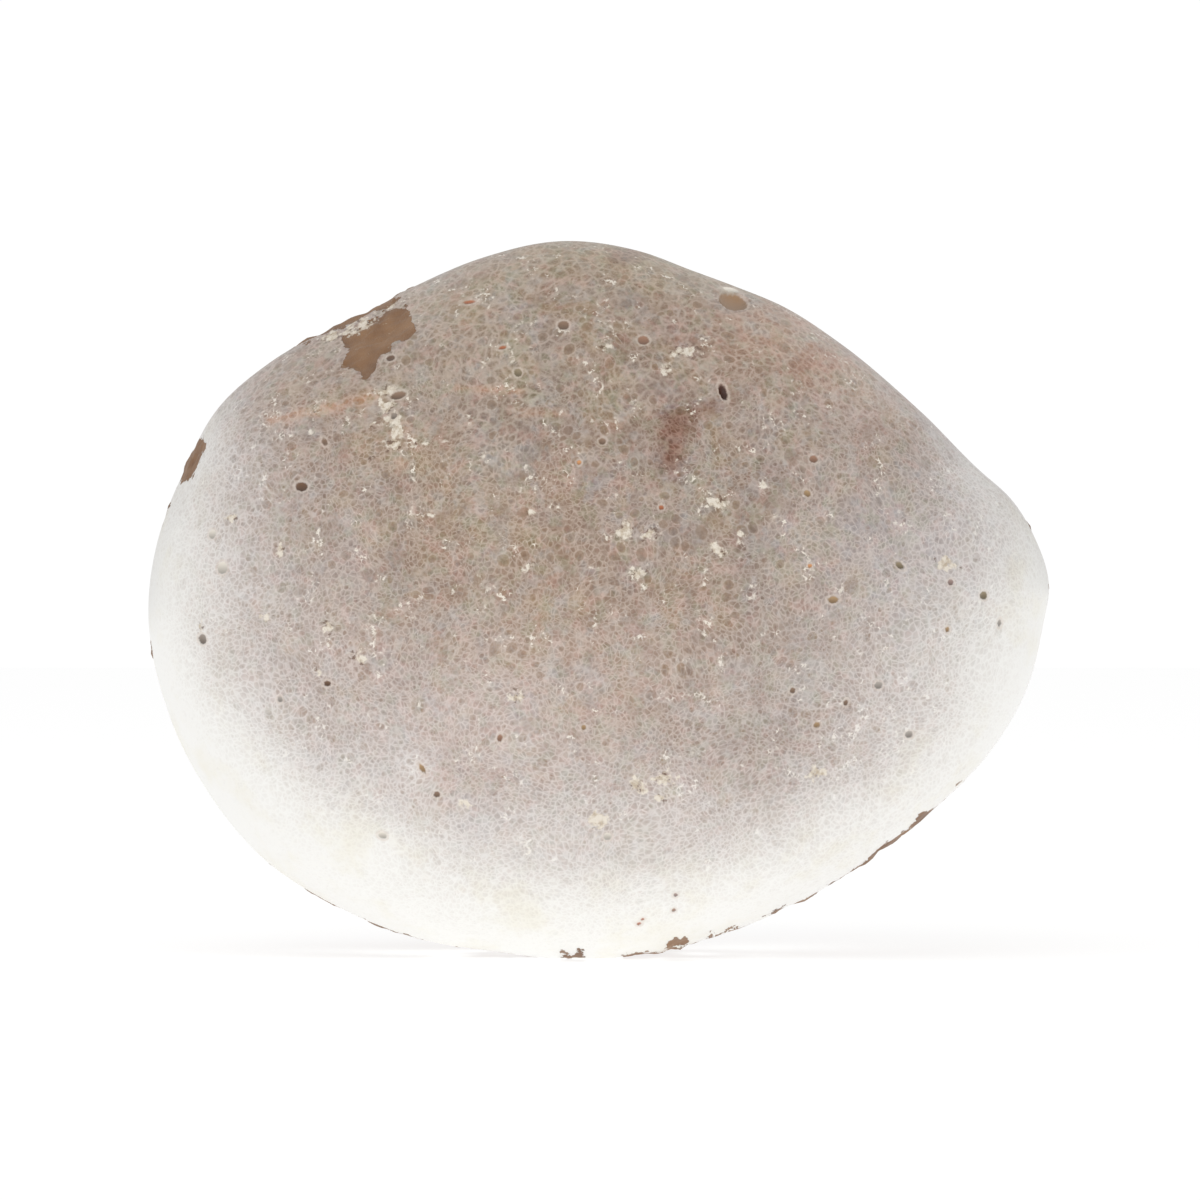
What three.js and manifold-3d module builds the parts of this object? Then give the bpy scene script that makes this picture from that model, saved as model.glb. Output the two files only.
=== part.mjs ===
// A polished agate nodule (an unopened geode), one solid stone, 100 mm long.
// Frame: millimetres, +Z up, +X along the stone's long axis, +Y from its broad front to its back.
// Origin: on the surface it rests on, under the middle of the stone's bounding box.
import * as THREE from "three";
import { mergeVertices } from "three/addons/utils/BufferGeometryUtils.js";
import Module from "manifold-3d";

// ---- driving dimensions, mm ----
const coreX = -1.7; // the middle that the outline is measured round
const coreZ = 38.7;
const frontDepth = 41.6; // from the outline's plane to the foremost and rearmost points
const backDepth = 42.2;
const waistX = 48.6; // half sizes of the plain oval that the outline fades into, front and back
const waistZ = 39.4;
const frontApex = { x: -1.2, z: -1.0 }; // how far the foremost point sits from the middle
const backApex = { x: 1.4, z: 0.4 };
const lumpHeight = 0.7; // gentle swells of the hand-ground surface
const gridCells = 24; // cells along each side of the six grids that cover the stone
const flatCut = 0.0; // height of the small flat that the stone rests on

// The outline seen from the front, anticlockwise from the blunt tip at the right: [x, z].
const outline = [
  [50.1, 41.4],
  [49.4, 36.5],
  [47.8, 30.1],
  [43.4, 22.5],
  [37.0, 16.1],
  [28.0, 9.3],
  [18.0, 4.0],
  [8.0, 0.8],
  [-2.4, -0.4],
  [-12.0, 0.6],
  [-20.5, 2.1],
  [-29.5, 5.8],
  [-37.6, 11.2],
  [-43.2, 18.0],
  [-47.6, 26.6],
  [-50.0, 38.5],
  [-48.7, 47.4],
  [-46.1, 54.0],
  [-42.4, 60.8],
  [-36.5, 66.0],
  [-28.7, 70.3],
  [-21.0, 74.2],
  [-13.0, 77.6],
  [-4.0, 79.5],
  [4.5, 78.4],
  [10.5, 76.2],
  [15.1, 74.5],
  [20.8, 72.1],
  [26.8, 68.2],
  [36.0, 60.4],
  [42.4, 54.0],
  [46.0, 50.7],
  [48.5, 46.6],
];

// Shallow hollows where the grinding stayed off the natural skin: centre, reach and depth.
const hollows = [
  { at: [-26, -16, 69], reach: 9, depth: 0.8 },
  { at: [-46, -4, 53], reach: 9, depth: 0.7 },
  { at: [40, 22, 20], reach: 11, depth: 0.9 },
  { at: [-12, 39, 52], reach: 14, depth: 1.1 },
  { at: [18, -12, 3], reach: 8, depth: 0.5 },
];

// ---- the stone's shape ----

// Angle and distance of each outline point from the core, in order of angle.
const knots = outline
  .map(([x, z]) => ({
    angle: Math.atan2(z - coreZ, x - coreX),
    radius: Math.hypot(x - coreX, z - coreZ),
  }))
  .sort((a, b) => a.angle - b.angle);

// Knot number i, counted round and round the outline.
function knot(i) {
  const turns = Math.floor(i / knots.length);
  const k = knots[i - turns * knots.length];
  return { angle: k.angle + turns * 2 * Math.PI, radius: k.radius };
}

// Slope of radius against angle at knot i, from the parabola through it and its neighbours.
function slope(i) {
  const [a, b, c] = [knot(i - 1), knot(i), knot(i + 1)];
  const left = (b.radius - a.radius) / (b.angle - a.angle);
  const right = (c.radius - b.radius) / (c.angle - b.angle);
  const share = (b.angle - a.angle) / (c.angle - a.angle);
  return left * (1 - share) + right * share;
}

// Distance from the core to the outline at an angle: a smooth cubic between each two knots.
function outlineRadius(angle) {
  let i = knots.findIndex((k) => k.angle > angle);
  if (i < 0) i = knots.length;
  const [a, b] = [knot(i - 1), knot(i)];
  const span = b.angle - a.angle;
  const t = (angle - a.angle) / span;
  return (
    a.radius * (1 + 2 * t) * (1 - t) ** 2 +
    slope(i - 1) * span * t * (1 - t) ** 2 +
    b.radius * t * t * (3 - 2 * t) +
    slope(i) * span * t * t * (t - 1)
  );
}

// Gentle swells: a few crossed waves, between about -1 and 1.
function swell(x, y, z) {
  return (
    0.5 * Math.sin(x / 11.0 + 1.3) * Math.cos(z / 13.0 - 0.4) +
    0.3 * Math.sin(y / 9.0 + x / 17.0) +
    0.2 * Math.cos(z / 7.5 + y / 12.0 + 2.0)
  );
}

// The point of the stone's surface in a direction from its core.
// The in-plane radius is the outline's, fading to an oval towards the front and back.
function surfacePoint(direction) {
  const sine = direction.y; // 0 on the outline, -1 foremost, 1 rearmost
  const cosine = Math.sqrt(Math.max(0, 1 - sine * sine));
  const angle = Math.atan2(direction.z, direction.x);
  const oval =
    1 / Math.hypot(Math.cos(angle) / waistX, Math.sin(angle) / waistZ);
  const fade = sine * sine;
  const radius = outlineRadius(angle) * (1 - fade) + oval * fade;
  const apex = sine < 0 ? frontApex : backApex;
  const depth = sine < 0 ? frontDepth : backDepth;
  const point = new THREE.Vector3(
    coreX + radius * cosine * Math.cos(angle) + apex.x * fade,
    depth * sine,
    coreZ + radius * cosine * Math.sin(angle) + apex.z * fade,
  );
  const inward = new THREE.Vector3(coreX, 0, coreZ).sub(point).normalize();
  let sink = -lumpHeight * fade * swell(point.x, point.y, point.z);
  for (const { at, reach, depth: dip } of hollows) {
    const away = point.distanceTo(new THREE.Vector3(...at)) / reach;
    sink += dip * Math.exp(-away * away) * Math.min(1, Math.abs(sine) * 4);
  }
  return point.addScaledVector(inward, sink);
}

// Six square grids on a cube, blown up to a ball and then to the stone.
function stoneGeometry() {
  const box = new THREE.BoxGeometry(2, 2, 2, gridCells, gridCells, gridCells);
  const position = box.getAttribute("position");
  const direction = new THREE.Vector3();
  for (let i = 0; i < position.count; i++) {
    direction.fromBufferAttribute(position, i);
    // Equal angles instead of equal lengths, so that the cells stay alike in size.
    for (const axis of ["x", "y", "z"])
      direction[axis] = Math.tan((direction[axis] * Math.PI) / 4);
    const point = surfacePoint(direction.normalize());
    position.setXYZ(i, point.x, point.y, point.z);
  }
  return box;
}

// ---- the flat it rests on ----

const wasm = await Module();
wasm.setup();

// A closed geometry as a solid that can be cut.
function solidOf(geometry) {
  const bare = geometry.clone();
  bare.deleteAttribute("normal");
  bare.deleteAttribute("uv");
  const merged = mergeVertices(bare, 1e-4);
  return new wasm.Manifold(
    new wasm.Mesh({
      numProp: 3,
      vertProperties: new Float32Array(merged.getAttribute("position").array),
      triVerts: new Uint32Array(merged.index.array),
    }),
  );
}

// A cut solid back as a geometry.
function geometryOf(solid) {
  const mesh = solid.getMesh();
  const geometry = new THREE.BufferGeometry();
  const positions = new THREE.BufferAttribute(mesh.vertProperties, 3);
  geometry.setAttribute("position", positions);
  geometry.setIndex(new THREE.BufferAttribute(mesh.triVerts, 1));
  geometry.computeVertexNormals();
  return geometry;
}

const blockSize = 60;
const blockDepth = 10;
const belowFlat = new THREE.BoxGeometry(blockSize, blockSize, blockDepth);
belowFlat.translate(0, 0, flatCut - blockDepth / 2);
const stone = solidOf(stoneGeometry()).subtract(solidOf(belowFlat));

// ---- the part ----

const polishedAgate = new THREE.MeshStandardMaterial({
  color: new THREE.Color(0.72, 0.66, 0.61),
  roughness: 0.3,
  metalness: 0.0,
});

const nodule = new THREE.Mesh(geometryOf(stone), polishedAgate);
nodule.name = "agate_nodule";

const part = new THREE.Group();
part.add(nodule);

export default part;
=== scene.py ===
# A polished agate nodule on a pale floor: one stone, foam-like agate in front, brown rind behind.
# Lengths are in millimetres until a mesh is written, where they become metres.
import bpy
import numpy as np
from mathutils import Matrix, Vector


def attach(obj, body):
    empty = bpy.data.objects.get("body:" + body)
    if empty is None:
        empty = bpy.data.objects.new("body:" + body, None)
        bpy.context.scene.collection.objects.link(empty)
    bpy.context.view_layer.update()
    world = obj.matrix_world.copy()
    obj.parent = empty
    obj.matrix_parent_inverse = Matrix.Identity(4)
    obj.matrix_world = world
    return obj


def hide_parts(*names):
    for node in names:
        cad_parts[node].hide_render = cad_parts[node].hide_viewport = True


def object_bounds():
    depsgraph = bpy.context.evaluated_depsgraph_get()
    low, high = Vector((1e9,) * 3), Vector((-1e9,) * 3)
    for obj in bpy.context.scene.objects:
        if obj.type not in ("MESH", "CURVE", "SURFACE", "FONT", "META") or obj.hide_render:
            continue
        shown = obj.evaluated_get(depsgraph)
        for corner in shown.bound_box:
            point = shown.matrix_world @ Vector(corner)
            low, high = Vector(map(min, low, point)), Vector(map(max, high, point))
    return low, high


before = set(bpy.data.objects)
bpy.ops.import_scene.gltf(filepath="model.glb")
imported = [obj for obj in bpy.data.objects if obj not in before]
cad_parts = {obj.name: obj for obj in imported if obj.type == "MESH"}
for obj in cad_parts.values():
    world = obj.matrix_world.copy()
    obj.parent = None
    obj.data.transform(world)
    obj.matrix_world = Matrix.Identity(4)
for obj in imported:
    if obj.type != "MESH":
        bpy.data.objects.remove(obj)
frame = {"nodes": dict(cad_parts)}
cadBox = [list(corner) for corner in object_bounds()]
metresPerMm = 0.001
print("frame loaded:", ", ".join(frame["nodes"]))

# The stone's shape: a rounded body with a measured outline, which rests on a small flat.
stone = {
    "core": (-1.7, 38.7),          # the middle that the outline is measured round
    "depth": (41.6, 42.2),         # front, back
    "waist": (48.6, 39.4),         # half sizes of the oval that the outline fades into
    "apexFront": (-1.2, -1.0),     # how far the foremost point sits from the core, x and z
    "apexBack": (1.4, 0.4),        # and the rearmost one
    "lumpHeight": 0.7,             # gentle swells
    "gridCells": 127,              # cells along each side of the six grids
    "outline": [
        (50.1, 41.4), (49.4, 36.5), (47.8, 30.1), (43.4, 22.5), (37.0, 16.1), (28.0, 9.3),
        (18.0, 4.0), (8.0, 0.8), (-2.4, -0.4), (-12.0, 0.6), (-20.5, 2.1), (-29.5, 5.8),
        (-37.6, 11.2), (-43.2, 18.0), (-47.6, 26.6), (-50.0, 38.5), (-48.7, 47.4),
        (-46.1, 54.0), (-42.4, 60.8), (-36.5, 66.0), (-28.7, 70.3), (-21.0, 74.2),
        (-13.0, 77.6), (-4.0, 79.5), (4.5, 78.4), (10.5, 76.2), (15.1, 74.5), (20.8, 72.1),
        (26.8, 68.2), (36.0, 60.4), (42.4, 54.0), (46.0, 50.7), (48.5, 46.6),
    ],
    # the shallow hollows where the grinding stayed off the skin: centre, reach, depth
    "hollows": [
        ((-26, -16, 69), 9, 0.8), ((-46, -4, 53), 9, 0.7), ((40, 22, 20), 11, 0.9),
        ((-12, 39, 52), 14, 1.1), ((18, -12, 3), 8, 0.5),
    ],
    # the grid is drawn in towards each pit: how strongly, and how far as directions go, for a
    # pit of no size and more for each millimetre of its half size
    "gatherPull": 0.62,
    "gatherReach": (0.028, 0.022),
    # relief, each wave as height, size, seed
    "chalkWaves": [(0.06, 0.9, 11)],
    "rindSink": 0.14,
    "rindWaves": [(0.16, 6, 12), (0.07, 2.2, 13)],
    "pitPaintedShading": 0.45,              # painted shade and light: how much lighter a pit is high up, and darker low down
    "farOff": -3.0,                # what the pit and chalk attributes say away from all of them
    "bakeMargin": 0.004,           # between the squares of the baked map, in shares of it
}

# The camera looks straight at the front, from this far, with this much in sight at the middle.
view = {"distance": 700, "width": 133.6, "aim": (0.2, 39.6), "sensor": 36.0}

# Marks on the front are placed where they show from there, in the plane through the middle.
# Pits: x, z, half width, half height, tilt, depth, tone. The one without depth is a pale rim.
pits = [
    (15.0, 72.9, 1.65, 1.40, -10, 0.95, "buff"),
    (14.8, 74.2, 1.05, 0.36, -6, 0.00, "chalk"),
    (13.9, 62.9, 0.42, 0.95, 18, 0.50, "umber"),
    (-33.1, 52.3, 0.75, 0.50, -8, 0.25, "walnut"),
    (-22.3, 62.4, 0.90, 0.42, 12, 0.18, "taupe"),
    (-22.8, 60.2, 0.36, 0.42, 0, 0.20, "slate"),
    (-44.2, 35.2, 0.50, 0.60, 25, 0.25, "slate"),
    (-30.1, 30.3, 0.40, 0.32, 0, 0.18, "walnut"),
    (-23.1, 66.6, 0.50, 0.38, 0, 0.08, "walnut"),
    (-30.5, 57.2, 0.30, 0.55, 30, 0.15, "taupe"),
    (-3.8, 70.2, 0.62, 0.52, 0, 0.15, "taupe"),
    (5.1, 68.6, 0.62, 0.52, 0, 0.15, "russet"),
    (-8.9, 65.0, 0.42, 0.48, 20, 0.15, "olive"),
    (0.5, 57.3, 0.40, 0.36, 0, 0.15, "taupe"),
    (24.0, 55.3, 0.48, 0.40, 0, 0.15, "russet"),
    (23.3, 51.5, 0.34, 0.42, 40, 0.15, "ochre"),
    (33.6, 43.4, 0.58, 0.34, -35, 0.20, "olive"),
    (26.3, 39.5, 0.62, 0.38, 5, 0.18, "ochre"),
    (39.2, 41.5, 0.38, 0.36, 0, 0.15, "mauve"),
    (42.9, 40.0, 0.50, 0.46, -20, 0.18, "olive"),
    (39.0, 36.2, 0.28, 0.34, 0, 0.12, "ochre"),
    (44.7, 37.1, 0.26, 0.42, 0, 0.12, "ash"),
    (31.3, 30.1, 0.46, 0.42, 0, 0.15, "ash"),
    (27.7, 28.2, 0.30, 0.36, 0, 0.15, "taupe"),
    (34.6, 24.7, 0.48, 0.42, 0, 0.15, "ash"),
    (24.3, 25.8, 0.38, 0.34, 0, 0.12, "ochre"),
    (21.6, 29.4, 0.34, 0.34, 0, 0.12, "taupe"),
    (-41.9, 43.2, 0.62, 0.70, 0, 0.10, "drab"),
    (-43.0, 46.9, 0.48, 0.52, 0, 0.10, "drab"),
    (-35.5, 28.6, 0.30, 0.34, 20, 0.12, "ash"),
    (-24.0, 13.3, 0.50, 0.40, -20, 0.12, "drab"),
    (-19.6, 20.8, 0.26, 0.62, 32, 0.15, "ochre"),
    (-18.0, 18.0, 0.36, 0.36, 0, 0.15, "taupe"),
    (-10.9, 24.2, 0.28, 0.44, -10, 0.12, "russet"),
    (-1.7, 25.3, 0.30, 0.30, 0, 0.12, "ochre"),
    (1.0, 13.2, 0.46, 0.44, 0, 0.12, "drab"),
    (4.6, 3.5, 0.28, 0.24, 0, 0.05, "rust"),
    (4.9, 4.1, 0.22, 0.20, 0, 0.05, "rust"),
    (8.6, 6.8, 0.26, 0.26, 0, 0.05, "mauve"),
    (8.4, 5.1, 0.24, 0.26, 0, 0.04, "russet"),
    (-10.7, 67.7, 0.46, 0.20, 15, 0.10, "rust"),
    (-14.4, 72.8, 0.70, 0.22, 5, 0.10, "rust"),
    (-2.1, 54.8, 0.26, 0.26, 0, 0.05, "amber"),
    (23.6, 43.5, 0.26, 0.26, 0, 0.05, "amber"),
    (7.1, 50.0, 0.28, 0.28, 0, 0.08, "rust"),
]

# Chalk-white deposits in the front: x, z, half width, half height, tilt.
chalks = [
    (-23.5, 62.7, 1.2, 0.6, 30), (-23.6, 61.0, 1.2, 0.8, 25), (-23.4, 59.6, 0.9, 1.0, -10),
    (-22.5, 58.2, 0.9, 1.7, 8), (-22.4, 56.7, 1.3, 0.7, 0), (-21.0, 56.8, 0.5, 0.4, 0),
    (-19.0, 57.1, 0.5, 0.45, 0), (-25.1, 55.6, 0.4, 0.4, 0), (-25.3, 59.1, 0.35, 0.35, 0),
    (-18.5, 49.0, 0.75, 0.55, -30), (3.1, 47.4, 1.0, 0.95, 0), (5.8, 46.9, 0.9, 0.7, 20),
    (13.3, 50.6, 1.3, 0.8, -10), (13.3, 45.2, 0.9, 0.5, -15), (4.3, 42.5, 1.5, 0.8, 15),
    (-7.8, 43.1, 0.6, 0.5, 0), (-7.2, 49.5, 0.8, 0.5, 0), (-9.0, 28.8, 1.0, 0.6, 0),
    (-30.1, 36.5, 0.7, 0.75, 0), (-26.7, 33.4, 0.8, 0.8, 15), (-31.3, 31.2, 0.5, 0.6, 0),
    (0.8, 67.8, 0.8, 0.4, 0), (9.9, 67.1, 1.5, 0.9, 0), (7.7, 65.2, 0.6, 0.7, 20),
    (7.6, 19.8, 1.3, 0.9, 0), (4.4, 19.2, 0.9, 1.2, 20), (6.8, 17.6, 0.8, 0.5, 0),
    (-44.4, 36.6, 0.4, 0.8, 0), (-31.3, 60.9, 0.4, 0.8, 20), (-35.5, 45.0, 0.5, 1.0, 20),
    (-40.9, 48.9, 0.7, 0.5, 0), (-14.5, 16.8, 1.2, 0.5, -10), (0.0, 15.0, 1.0, 1.2, 0),
    (-37.0, 37.6, 0.6, 0.5, 0), (-29.6, 69.0, 1.4, 0.9, 25), (-26.5, 70.0, 2.0, 1.0, 30),
    (-23.3, 72.3, 0.6, 1.2, -30), (38.6, 43.5, 1.5, 0.7, -20), (15.8, 47.0, 0.5, 0.4, 0),
    (18.5, 52.5, 0.4, 0.4, 0), (24.5, 20.4, 1.2, 0.8, 0),
]

# Painted light from below: a white wash over the lower flanks and both ends, as the share below says.
paintedUnderlight = {
    "height": 40.0, "start": 2.92, "fall": 8.51, "curve": 2.85, "sides": 5.54,
    "stretch": 1.10, "cutOff": 0.04,
    # x, z, reach across, reach up, and how much more painted light (or less, below 0) there is there
    "drifts": [
        (-39.0, 33.0, 6.0, 6.0, -0.60), (-32.0, 27.0, 6.0, 5.0, -0.60), (18.0, 20.0, 8.0, 6.0, -0.95),
        (24.0, 26.0, 5.0, 6.0, -0.45), (43.0, 53.0, 4.5, 3.5, 1.6), (33.0, 56.0, 4.0, 4.0, -0.8),
        (0.0, 11.0, 14.0, 3.0, -0.45), (-27.0, 12.0, 6.0, 3.0, 0.9), (-12.0, 30.0, 8.0, 8.0, 0.50),
        (8.0, 5.0, 12.0, 3.5, -0.1), (-17.0, 19.0, 8.0, 5.0, -0.75), (17.0, 12.5, 14.0, 3.5, -0.50),
        (37.0, 27.0, 5.0, 5.0, -0.45), (4.0, 36.0, 5.0, 5.0, 0.5), (-45.0, 37.0, 3.0, 5.0, -0.4),
        (5.0, 25.0, 5.0, 5.0, -0.4), (-43.0, 31.0, 3.0, 4.0, -0.4), (-37.0, 25.0, 4.0, 3.0, -0.15),
        (-31.0, 21.0, 4.0, 3.0, -0.45), (30.0, 21.0, 4.0, 5.0, -0.6), (-20.0, 20.5, 2.5, 3.0, 1.0),
    ],
}

# Soft stains in the front: x, z, reach across, reach up, tone, strength.
stains = [
    (8.2, 57.3, 1.5, 3.4, "russetStain", 0.95), (9.6, 59.6, 2.2, 1.3, "russetStain", 0.80),
    (12.2, 61.0, 2.6, 1.0, "russetStain", 0.45), (0.0, 56.0, 9.0, 7.0, "umberStain", 0.20),
    (18.0, 43.0, 8.0, 6.0, "umberStain", 0.28), (6.0, 68.0, 5.0, 4.0, "umberStain", 0.35),
    (7.0, 54.5, 3.0, 4.0, "umberStain", 0.55), (-14.0, 48.0, 8.0, 7.0, "ochreStain", 0.15),
    (23.0, 70.0, 9.0, 3.5, "peachStain", 0.85), (25.5, 65.5, 4.0, 2.2, "tawnyStain", 0.75),
    (28.0, 64.0, 5.0, 3.0, "peachStain", 0.50), (33.0, 57.5, 4.0, 4.5, "umberStain", 0.40),
    (12.0, 76.0, 10.0, 2.5, "ochreStain", 0.85), (-17.0, 73.0, 5.0, 3.0, "strawStain", 0.45),
    (-4.0, 78.0, 12.0, 2.5, "ochreStain", 0.70), (3.2, 78.0, 2.4, 1.2, "russetStain", 0.80),
    (-8.0, 66.0, 7.0, 5.0, "sageStain", 0.50), (-20.0, 64.0, 6.0, 5.0, "sageStain", 0.35),
    (-12.0, 54.5, 4.0, 3.0, "sageStain", 0.35), (-4.0, 61.0, 8.0, 5.0, "umberStain", 0.40),
    (0.0, 55.0, 7.0, 4.0, "mauveStain", 0.40), (33.0, 46.0, 12.0, 9.0, "lilacStain", 0.60),
    (22.5, 46.5, 4.0, 3.0, "lilacStain", 0.60), (-28.0, 42.0, 4.0, 8.0, "lilacStain", 0.35),
    (4.0, 49.0, 5.0, 4.0, "lilacStain", 0.45), (-22.5, 44.0, 2.0, 8.0, "umberStain", 0.45),
    (16.5, 44.0, 1.8, 8.0, "umberStain", 0.60), (20.0, 54.0, 2.5, 3.0, "umberStain", 0.55),
    (-31.0, 50.0, 2.0, 5.0, "umberStain", 0.50), (-20.5, 55.0, 3.0, 2.5, "ochreStain", 0.50),
    (-17.0, 19.5, 1.0, 2.0, "ochreStain", 0.60), (-8.0, 28.0, 13.0, 8.0, "blushStain", 0.70),
    (-25.0, 33.0, 5.0, 3.0, "rose", 0.40), (-6.0, 36.0, 3.0, 5.0, "ochreStain", 0.35),
    (18.0, 25.0, 8.0, 7.0, "umberStain", 0.45), (8.3, 18.2, 0.9, 0.8, "strawStain", 1.0),
    (-16.0, 20.0, 7.0, 5.0, "rose", 0.50), (15.0, 52.0, 10.0, 6.0, "umberStain", 0.25),
    (30.0, 60.0, 6.0, 5.0, "umberStain", 0.30), (-39.0, 56.5, 5.0, 3.5, "umberStain", 0.45),
    (6.0, 63.0, 5.0, 2.5, "lilacStain", 0.30), (18.0, 59.0, 5.0, 3.0, "lilacStain", 0.30),
    (11.0, 51.0, 4.0, 3.0, "mauveStain", 0.50), (-13.0, 60.0, 3.0, 3.0, "mauveStain", 0.50),
    (-2.0, 54.0, 3.0, 2.0, "peachStain", 0.35), (4.0, 73.0, 4.0, 2.0, "umberStain", 0.50),
    (-13.0, 74.0, 3.0, 1.5, "ochreStain", 0.60), (0.0, 33.0, 3.0, 2.0, "peachStain", 0.35),
    (22.0, 42.0, 2.5, 2.0, "mauveStain", 0.45), (38.0, 37.0, 5.0, 4.0, "sageStain", 0.60),
    (-22.0, 53.0, 4.0, 2.0, "umberStain", 0.50), (33.0, 61.0, 4.0, 3.0, "peachStain", 0.40),
]

# Fine streaks in the front: x, z to x, z, width, tone, strength.
streaks = [
    (-36.5, 59.5, -30.5, 60.9, 0.60, "orangeStain", 0.90),
    (-31.0, 60.9, -25.0, 62.2, 0.65, "orangeStain", 0.90),
    (-15.8, 63.2, -8.5, 62.9, 0.35, "orangeStain", 0.60),
    (-8.8, 60.5, -3.8, 60.4, 0.35, "orangeStain", 0.45),
    (-9.8, 11.2, -0.9, 11.0, 0.40, "mauveStain", 0.60),
    (8.6, 59.6, 8.0, 54.8, 1.30, "russetStain", 0.90),
    (8.8, 59.8, 12.8, 61.4, 0.80, "russetStain", 0.55),
]

# Brown rind left in hollows of the front, each a closed outline of x, z: the big patch high on
# the left, a sliver below it, a fleck low on the right and five small ones along the bottom.
rindPatches = [
    [(-28.6, 65.7), (-27.3, 65.5), (-26.6, 65.1), (-26.2, 64.2), (-25.7, 63.8), (-25.1, 64.6),
     (-24.8, 65.9), (-24.3, 66.9), (-23.2, 67.4), (-22.9, 68.2), (-22.3, 68.6), (-21.4, 68.3),
     (-20.0, 69.8), (-20.8, 71.1), (-21.4, 72.5), (-23.2, 71.7), (-25.2, 70.9), (-27.0, 69.7),
     (-28.6, 69.0), (-27.8, 67.2)],
    [(-47.0, 52.6), (-45.4, 53.0), (-44.7, 54.3), (-44.3, 55.4), (-43.7, 56.4), (-43.9, 57.6),
     (-46.6, 57.0)],
    [(34.2, 13.9), (36.0, 14.8), (36.8, 16.0), (36.3, 16.1), (35.2, 15.2)],
    [(7.7, 0.9), (10.1, 1.2), (10.0, 2.2), (9.3, 2.2), (9.2, 1.7), (8.5, 2.0), (7.8, 1.4)],
    [(12.0, 1.9), (13.2, 2.2), (12.8, 2.6), (12.6, 3.2), (12.3, 2.5)],
    [(14.2, 2.4), (16.0, 3.0), (15.6, 3.3), (14.6, 3.0)],
    [(-2.6, -0.2), (-1.4, -0.2), (-1.6, 0.7), (-2.3, 0.8)],
    [(-4.2, -0.2), (-3.1, -0.2), (-3.6, 0.5), (-4.0, 0.6)],
]

# Where the rind starts, as a depth behind the outline. Shifts: angle round the stone, spread in
# degrees, and how much farther back it starts there. Waves: height, size, seed.
rindEdge = {
    "start": 3.0,
    "patchSteepness": 7,           # the patches' own edges waver this many times less
    "edgeWaves": [(1.2, 13, 3), (0.9, 4.5, 4)],
    "windows": 3.2,                # the rind's share at the back, against polished windows
    "windowWaves": [(3.6, 26, 8), (1.8, 8, 9)],
    "noPatch": -9,                 # far outside any patch
    "shifts": [
        (164, 7, -9.0), (128, 11, -13.5), (105, 8, 3.0), (62, 30, 10.0), (5, 12, -3.0),
        (-33, 22, -8.0), (-75, 28, -6.3), (-125, 25, -5.5), (-172, 12, -5.0),
    ],
}

# Tones in sRGB, 0 to 255.
tones = {
    "agate": (145, 118, 98), "wall": (222, 208, 195),
    # the next line's tones are the colours of the painted light from below
    "paintedUnderlight": (248, 247, 243), "cream": (244, 241, 230), "haze": (239, 236, 237),
    "buff": (152, 122, 94), "umber": (64, 34, 20), "walnut": (104, 78, 60),
    "taupe": (130, 106, 88), "slate": (138, 126, 116), "russet": (146, 112, 92),
    "olive": (134, 120, 96), "ochre": (160, 132, 98), "mauve": (150, 128, 120),
    "drab": (206, 199, 188), "ash": (158, 150, 142), "rust": (168, 104, 72), "amber": (200, 142, 94),
    "russetStain": (124, 88, 68), "umberStain": (134, 108, 90),
    "ochreStain": (154, 128, 94), "peachStain": (174, 122, 94),
    "tawnyStain": (150, 100, 72), "sageStain": (152, 144, 130), "lilacStain": (164, 156, 156),
    "strawStain": (170, 146, 108), "mauveStain": (142, 122, 112),
    "ashStain": (156, 145, 136), "blushStain": (176, 150, 136),
    "rose": (172, 134, 118), "moss": (140, 130, 102),
    "orangeStain": (188, 136, 100), "chalk": (240, 231, 216), "chalkShade": (200, 184, 162),
    "rind": (124, 86, 57), "rindPale": (168, 132, 98), "rindDark": (92, 64, 44),
}


def linear(tone):
    # sRGB curve: c / 12.92 below 0.04045, ((c + 0.055) / 1.055) ** 2.4 above
    c = np.array(tones[tone]) / 255
    return np.where(c <= 0.04045, c / 12.92, ((c + 0.055) / 1.055) ** 2.4)


def smooth(value, low, high):
    # 0 below low, 1 above high, 3t^2 - 2t^3 between
    t = np.clip((value - low) / (high - low), 0, 1)
    return t * t * (3 - 2 * t)


def waves(points, size, seed, count=48):
    # sum of cosine waves of about one size in seeded directions, with a spread of 1
    rng = np.random.default_rng(seed)
    pull = rng.normal(size=(count, 3))
    pull /= np.linalg.norm(pull, axis=1)[:, None]
    pull *= (2 * np.pi / size) * rng.uniform(0.6, 1.5, (count, 1))
    phase = rng.uniform(0, 2 * np.pi, count)
    return np.cos(points @ pull.T + phase).sum(1) / np.sqrt(count / 2)


def layered(points, layers, start=0):
    # a start value plus each layer's height times its waves
    return sum((height * waves(points, size, seed) for height, size, seed in layers), start)


def outlineRadius(angle):
    # smooth cubic between each two outline points, radius against angle round the core
    x, z = np.array(stone["outline"]).T
    coreX, coreZ = stone["core"]
    knotAngle = np.arctan2(z - coreZ, x - coreX)
    knotRadius = np.hypot(x - coreX, z - coreZ)
    order = np.argsort(knotAngle)
    a = np.concatenate([knotAngle[order] + turn for turn in (-2 * np.pi, 0, 2 * np.pi)])
    r = np.tile(knotRadius[order], 3)
    rise = np.diff(r) / np.diff(a)
    share = np.diff(a)[:-1] / (a[2:] - a[:-2])
    slope = np.concatenate([[0], rise[:-1] * (1 - share) + rise[1:] * share, [0]])
    i = np.searchsorted(a, angle)
    span = a[i] - a[i - 1]
    t = (angle - a[i - 1]) / span
    return (r[i - 1] * (1 + 2 * t) * (1 - t) ** 2 + slope[i - 1] * span * t * (1 - t) ** 2
            + r[i] * t * t * (3 - 2 * t) + slope[i] * span * t * t * (t - 1))


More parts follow.
